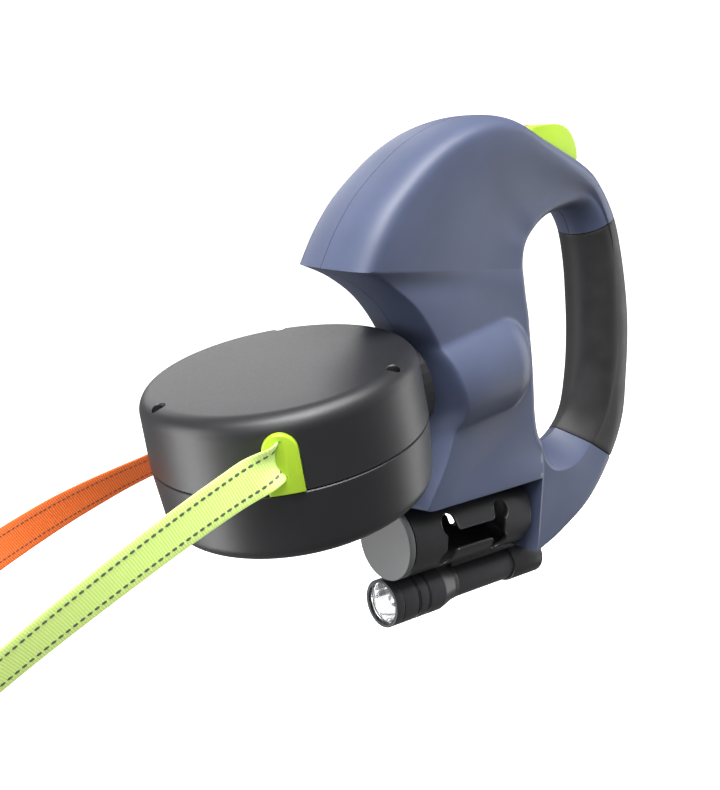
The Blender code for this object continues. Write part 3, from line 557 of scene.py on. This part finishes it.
def make_stitching(colour, tape):
    """Two rows of raised thread along both faces of the webbing."""
    pitch, length, half = STITCHES[colour]
    shapes = []
    count = int((tape.length - 4) / pitch)
    for face in (1, -1):
        for line in (-0.60, 0.60):
            for i in range(count):
                start = 3.0 + i * pitch
                rings = []
                for s in range(5):
                    t = s / 4
                    swell = sqrt(max(1 - (2 * t - 1) ** 4, 0.04))
                    distance = start + length * t
                    ring = []
                    for j in range(6):
                        a = 2 * pi * j / 6
                        side = line + half * swell * cos(a) * 2 / WEBBING_WIDTH
                        lift = face * (WEBBING_THICK / 2 + 0.02 + 0.14 * swell * sin(a))
                        ring.append(tape.point(distance, side, lift))
                    rings.append(ring)
                shapes.append(skin(rings))
    piece(f"{colour}_stitching", *merged(*shapes), f"{colour}_stitching", "head", slot=f"{colour}_webbing")


def make_hooks(colour):
    for part, body in (("eye", "head"), ("body", f"{colour}_hook"), ("bolt", f"{colour}_hook_bolt")):
        refined(f"{colour}_hook_{part}", 0.7, body, "zinc_chrome")


# ---- handle -----------------------------------------------------------------------------------
# Cross-sections from the outer edge to the finger opening: outer x, z, opening x, z, half width and
# rounding depth at the outer edge and at the opening, and the squareness of both roundings.
BACK_SECTIONS = [
    (27.3, 58.3, 127.8, 33.0, 22.5, 11.0, 16.0, 6.0, 2.7, 2.2),
    (38.0, 71.5, 128.3, 37.0, 22.5, 11.5, 16.0, 6.0, 2.7, 2.2),
    (52.2, 83.6, 129.8, 40.5, 22.0, 11.0, 16.0, 6.5, 2.7, 2.2),
    (75.5, 95.9, 132.8, 43.5, 21.5, 10.0, 15.5, 7.0, 2.7, 2.2),
    (98.9, 101.5, 137.0, 46.4, 21.0, 9.0, 15.5, 7.0, 2.6, 2.1),
    (122.0, 100.2, 143.0, 49.0, 20.0, 9.0, 15.0, 7.0, 2.5, 2.1),
    (144.9, 88.6, 151.0, 50.6, 18.0, 9.0, 14.5, 7.0, 2.4, 2.1),
    (174.5, 71.8, 164.0, 50.2, 16.0, 9.0, 14.0, 8.0, 2.3, 2.0),
    (187.5, 60.5, 170.6, 47.0, 15.0, 9.5, 14.0, 9.0, 2.2, 2.0),
    (200.0, 42.5, 175.5, 36.0, 14.5, 13.0, 14.0, 12.0, 2.0, 2.0),
    (206.2, 22.0, 177.0, 20.0, 14.0, 15.0, 14.0, 14.0, 2.0, 2.0),
    (209.2, 0.0, 176.5, 0.0, 14.0, 16.0, 14.0, 15.0, 2.0, 2.0),
    (209.6, -20.0, 175.0, -18.0, 14.0, 16.5, 14.0, 16.0, 2.0, 2.0),
    (207.0, -43.0, 171.0, -36.0, 14.0, 17.0, 14.0, 16.0, 2.0, 1.8),
    (200.5, -68.8, 163.5, -51.5, 14.5, 16.0, 14.0, 16.0, 2.0, 1.4),
    (184.2, -87.4, 154.5, -59.5, 15.5, 12.0, 14.5, 14.0, 2.1, 1.15),
    (159.9, -101.9, 144.0, -62.0, 17.0, 8.0, 16.0, 13.0, 2.2, 1.12),
    (132.3, -107.8, 134.5, -59.5, 18.0, 5.0, 16.5, 11.0, 2.2, 1.15),
    (113.5, -107.3, 130.0, -54.0, 18.5, 1.5, 16.5, 9.0, 2.2, 1.5),
]
RECESS_BACK = [BACK_SECTIONS[-1], (121.0, -70.0, 128.2, -48.0, 19.0, 1.5, 16.5, 8.0, 2.2, 2.1)]
RECESS_TOP = [RECESS_BACK[-1], (85.0, -61.9, 127.8, -40.0, 19.5, 1.5, 16.5, 7.5, 2.2, 2.2),
              (62.0, -56.7, 127.8, -36.2, 19.7, 1.5, 16.5, 7.2, 2.0, 2.2),
              (47.0, -53.3, 127.8, -33.6, 19.9, 2.0, 16.5, 7.1, 1.6, 2.2),
              (37.9, -51.2, 127.8, -32.0, 20.0, 13.0, 16.5, 7.0, 1.3, 2.2)]
FRONT_ANGLES = [(-35, -20.0, 128.3, 10.5, 1.25), (-17, -9.0, 128.8, 10.0, 1.25), (0, 2.0, 128.8, 6.0, 1.6),
                (17, 12.0, 128.8, 5.0, 1.7), (35, 20.0, 128.1, 5.0, 1.8), (51, 27.0, 127.8, 6.0, 2.0)]
FRONT_SECTIONS = [RECESS_TOP[-1]] + [
    (FRONT_RADIUS * cos(radians(a)), FRONT_RADIUS * sin(radians(a)), x, z, 20.0, depth, 16.5, 6.5, power, 2.2)
    for a, z, x, depth, power in FRONT_ANGLES] + [BACK_SECTIONS[0]]
SLEEVE_START = 9
SLEEVE_END = 15
BULGE_RADIUS = 27.5
BULGE_LEVEL = -3.0
BULGE_FALL = 0.054
BULGE_END = 105.0
BULGE_ROUND = 22.0
BULGE_FILLET = 1.2
SCREWS = [(57.0, 70.0), (100.0, 84.0), (84.0, -44.0), (115.0, -40.0), (137.0, -84.0)]
ROUND_STEPS = 14
SIDE_STEPS = 58


def bulge(x, z):
    """Half width that the swivel housing asks for at a place on the side."""
    back = max(0.0, (x - BULGE_END) / BULGE_ROUND) * BULGE_RADIUS
    level = BULGE_LEVEL - BULGE_FALL * (x - FRONT_RADIUS)
    left = BULGE_RADIUS ** 2 - (z - level) ** 2 - back ** 2
    return sqrt(left) if left > 0 and x > 50 else 0.0


def wider(a, b, fillet):
    """The larger of two widths, with a fillet where they cross."""
    near = max(fillet - abs(a - b), 0.0) / fillet
    return max(a, b) + near * near * fillet / 4


def half_section(row, shrink, ends, middle):
    """Points of half a cross-section, outer edge to opening, inset all round by shrink."""
    ox, oz, ix, iz, ho, do, hi, di, outer_power, inner_power = row
    length = hypot(ix - ox, iz - oz)
    ux, uz = (ix - ox) / length, (iz - oz) / length
    ho, hi = ho - shrink, hi - shrink
    do, di = max(do - 0.5 * shrink, 0.4), max(di - 0.5 * shrink, 0.4)
    span = length - 2 * shrink
    spare = (do + di) / span
    if spare > 0.98:
        do, di = do * 0.98 / spare, di * 0.98 / spare
    points = []
    for i in range(ends):
        a = pi / 2 * i / ends
        points.append((do * (1 - cos(a) ** (2 / outer_power)), ho * sin(a) ** (2 / outer_power)))
    for i in range(middle + 1):
        t = i / middle
        points.append((do + (span - do - di) * t, ho + (hi - ho) * ease(t)))
    for i in range(ends - 1, -1, -1):
        a = pi / 2 * i / ends
        points.append((span - di * (1 - cos(a) ** (2 / inner_power)), hi * sin(a) ** (2 / inner_power)))
    placed = []
    for inset, rise in points:
        x = ox + ux * (inset + shrink)
        z = oz + uz * (inset + shrink)
        level = max(ho + (hi - ho) * inset / span, 1.0)
        swell = wider(level, bulge(x, z), BULGE_FILLET) if shrink < SHELL_WALL else level
        placed.append((x, rise * max(1.0, swell / level), z))
    return placed


def nudge(row, towards, step):
    return tuple(a + (b - a) * step for a, b in zip(row, towards))


def handle_rows(per_span=12):
    """Rows round the handle's closed path, and whether the sleeve covers them."""
    rows = []
    for index, row in enumerate(spline(BACK_SECTIONS, per_span)):
        place = index / per_span
        if place in (SLEEVE_START, SLEEVE_END):
            inward = BACK_SECTIONS[SLEEVE_START + 1 if place == SLEEVE_START else SLEEVE_END - 1]
            pair = [(row, False), (nudge(row, inward, 0.015), True)]
            rows += pair if place == SLEEVE_START else pair[::-1]
        else:
            rows.append((row, SLEEVE_START < place < SLEEVE_END))
    for part, count in ((RECESS_BACK, 10), (RECESS_TOP, 8), (FRONT_SECTIONS, per_span)):
        rows += [(row, False) for row in spline(part, count)]
    return rows


def button_frame():
    a, b = Vector((144.9, 0, 88.6)), Vector((174.5, 0, 71.8))
    run = (b - a).normalized()
    return (a + b) / 2 - run * 4, run, Vector((-run.z, 0, run.x))


def at_button(along, out, side):
    middle, run, away = button_frame()
    point = middle + run * along + away * out
    return (point.x, side, point.z)


def make_handle():
    well = soften([(-17.4, -11.6), (17.4, -11.6), (17.4, 11.6), (-17.4, 11.6)], 4.0, 6, closed=True)
    well = prism(well, -12.0, 14.0, lambda u, v, w: at_button(u, w, v))
    hole = rod(13.6, (50, 0, 0), (72, 0, 0), 72)
    for name, side in (("left", -1), ("right", 1)):
        rings = []
        for row, covered in handle_rows():
            under = SLEEVE_WALL + GAP if covered else 0.0
            outer = half_section(row, under, ROUND_STEPS, SIDE_STEPS)
            inner = half_section(row, under + SHELL_WALL, 2, 3)
            rings.append([(x, side * max(y, GAP / 2), z) for x, y, z in outer + inner[::-1]])
        half = piece(f"handle_half_{name}", *skin(rings, closed_path=True), "navy_plastic", "handle",
                     [f"handle_shell_{name}"], sharp=50)
        cutters = [well, hole]
        if side > 0:
            cutters += [rod(3.1, (x, 8.2, z), (x, 40, z), 40) for x, z in SCREWS]
        carve(half, merged(*cutters), sharp=50)


def make_sleeve():
    rows = spline(BACK_SECTIONS, 12)[12 * SLEEVE_START:12 * SLEEVE_END + 1]
    rows[0] = nudge(rows[0], BACK_SECTIONS[SLEEVE_START + 1], 0.03)
    rows[-1] = nudge(rows[-1], BACK_SECTIONS[SLEEVE_END - 1], 0.03)
    walls = []
    for shrink in (0.0, SLEEVE_WALL):
        wall = []
        for index, row in enumerate(rows):
            rim = 0.35 if index in (0, len(rows) - 1) and not shrink else 0.0
            half = half_section(row, shrink + rim, ROUND_STEPS, 20)
            wall.append([(x, -y, z) for x, y, z in half] + [(x, y, z) for x, y, z in half[-2:0:-1]])
        walls.append(wall)
    rings = walls[0] + walls[1][::-1]
    piece("grip_skin", *skin(rings, closed_path=True), "grip_rubber", "handle", ["grip_sleeve"], sharp=50)


CREST = [(-17.0, 0.6), (-15.5, 1.8), (-11.5, 4.0), (-6.5, 6.4), (-2.0, 8.0), (2.4, 8.9), (6.4, 8.6),
         (10.0, 7.2), (13.2, 4.8), (15.6, 2.2), (17.0, -0.6)]
BUTTON_FOOT = -3.5


def make_button(colour, side):
    """A thumb button with a soft crest and three grip ridges, and its stem."""
    outline = []
    for u, height in spline(CREST, 8) + [CREST[-1]]:
        ridge = 0.28 * (0.5 - 0.5 * cos(2 * pi * (u + 4.5) / 2.6)) if -4.5 < u < 3.3 else 0.0
        outline.append((u, height + ridge))
    outline += [(17.0, BUTTON_FOOT), (-17.0, BUTTON_FOOT)]
    low, high = sorted((side * 1.0, side * 11.2))
    button = piece(f"{colour}_thumb_button", *prism(outline, low, high, at_button), f"{colour}_plastic",
                   f"{colour}_button", [f"{colour}_button"])
    round_edges(button, 1.1, 5, 40)
    stem = rod(2.0, at_button(3.0, -17.3, side * 6), at_button(3.0, BUTTON_FOOT + 0.4, side * 6), 32)
    piece(f"{colour}_button_stem", *stem, f"{colour}_plastic", f"{colour}_button")
    spring = refined(f"{colour}_button_spring", 0, "handle", "steel")
    foot = world(at_button(3.0, -9.5, side * 6))
    tuple(button_frame()[2])
    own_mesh(spring)


# ---- drum -------------------------------------------------------------------------------------
DRUM_SCREWS = [-65, 55, 175]
DRUM_SCREW_CIRCLE = 49.0
OUTLETS = {"green": (1, -125.0), "orange": (-1, 115.0)}


def drum_profile():
    top, wall, fillet = DRUM_HALF, DRUM_WALL, 7.0
    outer = [(DRUM_RADIUS - wall, GAP / 2), (DRUM_RADIUS - 0.35, GAP / 2), (DRUM_RADIUS, 0.5)]
    for i in range(13):
        a = pi / 2 * i / 12
        outer.append((DRUM_RADIUS - 1.0 - fillet * (1 - cos(a)), top - fillet * (1 - sin(a))))
    crown = [(34.0, top + 0.02), (16.0, top + 0.03), (0, top + 0.03)]
    inner = [(0, top - wall), (DRUM_RADIUS - wall - 5.5, top - wall),
             (DRUM_RADIUS - wall - 0.6, top - wall - 5)]
    return inner + outer + crown


def polar(radius, angle, height=0.0):
    return (radius * cos(radians(angle)), radius * sin(radians(angle)), height)


def arch(side, grow, steps=20):
    half, shoulder, base = 6.2 + grow, 15.5, 0.5 - grow
    points = [(-half, side * base), (half, side * base)]
    for i in range(steps + 1):
        a = pi * i / steps
        points.append((half * cos(a), side * (shoulder + (6.8 + grow) * sin(a))))
    return points


def at_outlet(angle):
    out = Vector(polar(1, angle))
    across = Vector((-out.y, out.x, 0))
    return lambda u, v, w: tuple(out * w + across * u + Vector((0, 0, v)))


def make_drum():
    profile = drum_profile()
    for name, side, colour in (("upper", 1, "green"), ("lower", -1, "orange")):
        heights = [(radius, side * height) for radius, height in profile]
        heights = [(0, side * (DRUM_HALF - DRUM_WALL))] + [(r, h) for r, h in heights if r > 0]
        heights.append((0, side * (DRUM_HALF + 0.03)))
        case = piece(f"drum_{name}_skin", *turned(heights, segments=160), "black_plastic", "head",
                     [f"drum_{name}_case"])
        cutters = [prism(arch(side, GAP * 0.6), 45, 65, at_outlet(OUTLETS[colour][1])),
                   rod(14.8, (30, 0, 0), (60, 0, 0), 48)]
        if side > 0:
            for angle in DRUM_SCREWS:
                x, y, _ = polar(DRUM_SCREW_CIRCLE, angle)
                well = soften([(0, 15.0), (2.5, 15.0), (2.5, 27.2), (3.4, 28.2), (0, 28.2)], 0.2, 2)
                cutters.append(turned(well, (x, y, 0), (0, 0, 1), 32))
        carve(case, merged(*cutters))
        if side > 0:
            for index, angle in enumerate(DRUM_SCREWS, 1):
                x, y, _ = polar(DRUM_SCREW_CIRCLE, angle)
                ring = [(2.6, 12.0), (3.4, 12.0), (3.4, 25.2), (2.6, 25.2)]
                piece(f"drum_screw_well_{index}", *turned(ring, (x, y, 0), (0, 0, 1), 32, ring=True),
                      "black_plastic", "head")


def slot_line(v):
    """How far across the tab the slot's middle lies at a height from the slot's middle."""
    return -3.0 + 3.0 * (v / 6.6) ** 2


def make_outlet(colour):
    side, angle = OUTLETS[colour]
    place = at_outlet(angle)
    tab = piece(f"{colour}_outlet_tab", *prism(arch(side, 0.0, 28), 48, 62, place), f"{colour}_plastic",
                "head", [f"{colour}_outlet"])
    ring = turned([(51.6, -40), (56.4, -40), (56.4, 40), (51.6, 40)], segments=180, ring=True)
    carve(tab, ring, "INTERSECT")
    round_edges(tab, 0.55, 3, 45)
    levels = [-6.7 + 13.4 * i / 16 for i in range(17)]
    outline = [(slot_line(v) + 1.15, v) for v in levels] + [(slot_line(v) - 1.15, v) for v in levels[::-1]]
    outline = [(side * u, side * (WEBBING_LEVEL + v)) for u, v in outline]
    carve(tab, prism(outline, 40, 70, place))


# ---- swivel -----------------------------------------------------------------------------------
def make_swivel():
    collar = soften([(10.2, 59.4), (12.9, 59.4), (12.9, 65.5), (10.2, 65.5)], 0.5, 4, closed=True)
    piece("swivel_collar", *turned(collar, (0, 0, 0), (1, 0, 0), 96, ring=True), "black_plastic", "head")


# ---- waste-bag tube ---------------------------------------------------------------------------
def on_tube(distance, height=0.0, side=0.0, front=TUBE_FRONT):
    across = Vector((sin(TUBE_TILT), 0, cos(TUBE_TILT)))
    return Vector(front) + DOWN_AXIS * distance + across * height + Vector((0, side, 0))


def bone(length=43.0, half_waist=4.8, lobe=4.8, steps=14):
    points = []
    for sign_u, sign_v, first in ((1, -1, -150), (1, 1, -60), (-1, 1, 30), (-1, -1, 120)):
        centre = (sign_u * (length / 2 - lobe), sign_v * (lobe + 2.8))
        for i in range(steps + 1):
            a = radians(first + 210 * i / steps)
            points.append((centre[0] + lobe * cos(a), centre[1] + lobe * sin(a)))
        if sign_u * sign_v > 0:
            waist = length / 2 - 2.1 * lobe
            points += [(sign_u * waist, sign_v * half_waist), (-sign_u * waist, sign_v * half_waist)]
    return soften(points, 1.6, 4, closed=True)


def make_bag_tube():
    radius, wall, length = TUBE_RADIUS, 1.6, TUBE_LENGTH
    outer = [(radius, 4.0), (radius, length - 3.0), (radius - 3.0, length - 0.6), (0, length - 0.6)]
    inner = [(0, length - 2.2), (radius - 4.2, length - 2.2), (radius - wall, length - 4.6),
             (radius - wall, 4.0)]
    profile = inner[:1] + soften(inner, 1.0, 4)[1:]
    profile += [(radius - wall, 3.9), (radius - 0.3, 3.9)] + soften(outer, 2.0, 6)
    tube = piece("bag_tube_wall", *turned(profile, TUBE_FRONT, DOWN_AXIS, 128), "black_plastic", "handle",
                 ["bag_tube"])
    for name, side, outline in (("near", -1, bone()), ("far", 1, bone(38.0, 3.4, 3.2))):
        low, high = sorted((side * 1.0, side * 40.0))
        carve(tube, prism(outline, low, high, lambda u, v, w: on_tube(41.5 + u, v, w)))
        depth = radius - 0.25
        path = [on_tube(41.5 + u, v, side * sqrt(depth ** 2 - v ** 2)) for u, v in outline]
        path = [p for p, q in zip(path, path[1:] + path[:1]) if (p - q).length > 0.05]
        piece(f"bone_rim_{name}", *sweep(path, 0.42, 8, closed=True), "black_plastic", "handle")
    rib = [(28, radius - 1.2), (66, radius - 1.2), (66, radius + 6.5), (28, radius + 6.5)]
    piece("bag_tube_rib", *prism(rib, -3, 3, on_tube), "black_plastic", "handle")
    spigot = rod(6.0, on_tube(length - 1.4), on_tube(length + 6))
    piece("bag_tube_spigot", *spigot, "black_plastic", "handle")


def make_cap():
    radius = TUBE_RADIUS
    profile = [(0, 0.0), (radius, 0.0), (radius, 3.6), (radius - 2.0, 3.6), (radius - 2.0, 9.0),
               (radius - 3.6, 9.0), (radius - 3.6, 2.0), (0, 2.0)]
    piece("bag_tube_lid", *turned(soften(profile, 0.7, 5), TUBE_FRONT, DOWN_AXIS, 128), "grey_plastic",
          "bag_tube_cap", ["bag_tube_cap"])


# ---- torch ------------------------------------------------------------------------------------
def torch_part(name, profile, finish, node, ring=True, fillet=0.35, segments=96, body="torch"):
    shape = turned(soften(profile, fillet, 4, closed=ring), TORCH_FRONT, DOWN_AXIS, segments, ring)
    return piece(name, *shape, finish, body, [node] if node else [])


def make_torch():
    head, body = TORCH_HEAD, TORCH_BODY
    torch_part("torch_bezel_ring", [(head - 1.6, 0), (head, 0), (head, 4.65), (head - 1.2, 4.65),
                                    (head - 1.2, 1.6), (head - 1.6, 1.6)], "torch_aluminium", "torch_bezel")
    torch_part("torch_window", [(0, 1.75), (head - 1.5, 1.8), (head - 1.5, 3.4), (0, 3.4)], "clear_lens",
               "torch_lens", ring=False, fillet=0.2)
    bowl = [(2.3, 15.5), (3.4, 15.5), (5.6, 12.6), (7.4, 9.5), (8.4, 6.6), (9.0, 3.8), (9.6, 3.8), (9.6, 5.4),
            (8.4, 11.5), (5.0, 17.5), (2.3, 17.5)]
    torch_part("torch_bowl", bowl, "reflector_chrome", "torch_reflector", fillet=0.8)
    torch_part("torch_board", [(0, 17.9), (6.8, 17.9), (6.8, 19.4), (0, 19.4)], "board_white",
               "torch_led_board", ring=False)
    led = torch_part("torch_led", [(0, 13.6), (1.2, 13.9), (1.9, 15.0), (1.9, 17.8), (0, 17.8)],
                     "board_white", None, ring=False, fillet=0.6, segments=48)
    led.data.materials[0] = FINISHES["led_phosphor"]
    groove = head - 1.1
    torch_part("torch_head_tube",
               [(groove, 4.95), (head, 4.95), (head, 13.0), (groove, 13.2), (groove, 14.8), (head, 15.0),
                (head, 19.0), (groove, 19.2), (groove, 20.8), (head, 21.0), (head, 30.0), (body + 0.5, 38.2),
                (body + 0.3, 41.0), (body - 1.0, 41.0), (body - 1.0, 20.0), (groove, 17.0)],
               "torch_aluminium", "torch_head", fillet=0.3)
    torch_part("torch_barrel", [(body - 1.9, 41.3), (body, 41.3), (body, 86.7), (body - 0.5, 87.1),
                                (body - 1.9, 87.1)], "torch_aluminium", "torch_body")
    torch_part("torch_tail", [(4.2, 87.4), (body - 0.4, 87.4), (body, 87.9), (body, 91.0), (body - 0.5, 91.4),
                              (body - 0.5, 92.2), (body, 92.6), (body, 101.0), (body - 1.0, 102.0),
                              (4.2, 102.0)], "torch_aluminium", "torch_tail_cap")
    torch_part("torch_switch_boot", [(0, 95.5), (3.8, 95.5), (3.8, 100.8), (2.4, 101.6), (0, 101.9)],
               "grip_rubber", "torch_switch", ring=False, fillet=0.8, body="torch_switch")
    refined("torch_holder", 0.45, "handle", "black_plastic")


# ---- floor and light --------------------------------------------------------------------------
def area_light(name, place, aim, width, height, power, colour=(1, 1, 1)):
    data = bpy.data.lights.new(name, "AREA")
    data.shape = "RECTANGLE"
    data.size, data.size_y = width, height
    data.energy = power
    data.color = colour
    light = bpy.data.objects.new(name, data)
    light.location = place
    light.rotation_euler = (Vector(aim) - Vector(place)).to_track_quat("-Z", "Y").to_euler()
    bpy.context.scene.collection.objects.link(light)


STAGE_GLOW = 1.2


def glowing_white(name):
    g = Graph(name)
    g.set(Base_Color=g.blend(g.noise(0.6, 2.0), (0.90, 0.90, 0.90), (0.93, 0.93, 0.93)), Roughness=0.9)
    g.set(Emission_Strength=STAGE_GLOW)
    g.shader.inputs["Emission Color"].default_value = (1, 1, 1, 1)
    return g.material


def make_stage():
    """A pale floor in a white studio; soft boxes light the object, and the room adds only a weak fill."""
    bpy.ops.mesh.primitive_plane_add(size=24, location=(0, 0, -0.62))
    floor = bpy.context.active_object
    floor.name = "floor"
    bpy.ops.mesh.primitive_uv_sphere_add(segments=48, ring_count=24, radius=14)
    backdrop = bpy.context.active_object
    backdrop.name = "backdrop"
    for stage in (floor, backdrop):
        stage.data.materials.append(glowing_white(stage.name + "_white"))
        stage.visible_diffuse = False
        stage.visible_glossy = False
        stage.visible_shadow = False
    scene = bpy.context.scene
    scene.world = bpy.data.worlds.new("studio")
    scene.world.use_nodes = True
    scene.world.node_tree.nodes["Background"].inputs["Color"].default_value = (1, 1, 1, 1)
    scene.world.node_tree.nodes["Background"].inputs["Strength"].default_value = 0.27
    scene.view_settings.view_transform = "Standard"
    middle = (-0.12, 0, 0)
    area_light("overhead_box", (-0.05, -0.35, 1.00), middle, 0.9, 0.6, 19.0)
    area_light("overhead_strip", (-0.43, -0.32, 0.95), middle, 0.7, 0.2, 8.0)
    area_light("front_box", (-0.80, -0.85, 0.95), middle, 0.8, 0.6, 5.0)
    area_light("left_box", (-1.10, 0.35, -0.10), middle, 0.5, 1.3, 14.0)
    area_light("right_box", (0.95, -0.25, -0.20), middle, 0.4, 1.2, 5.5)
    area_light("back_box", (0.15, 1.10, 0.55), middle, 1.1, 0.7, 5.0)


# ---- everything -------------------------------------------------------------------------------
def finish_cad_nodes():
    """The CAD nodes that stay take the fine material of their slot."""
    slots = {part["node"]: part["material_slot"] for part in frame["record"]["subparts"]}
    for name, obj in frame["nodes"].items():
        for slot in obj.material_slots:
            slot.material = FINISHES[slots[name]]


FINISHES = make_materials()
make_camera()
for paint in ("green", "orange"):
    make_hooks(paint)
make_webbing("green", GREEN_ROUTE, 1)
make_webbing("orange", ORANGE_ROUTE, -1)
make_handle()
make_sleeve()
make_button("green", -1)
make_button("orange", 1)
make_drum()
make_outlet("green")
make_outlet("orange")
make_swivel()
make_bag_tube()
make_cap()
make_torch()
finish_cad_nodes()
make_stage()
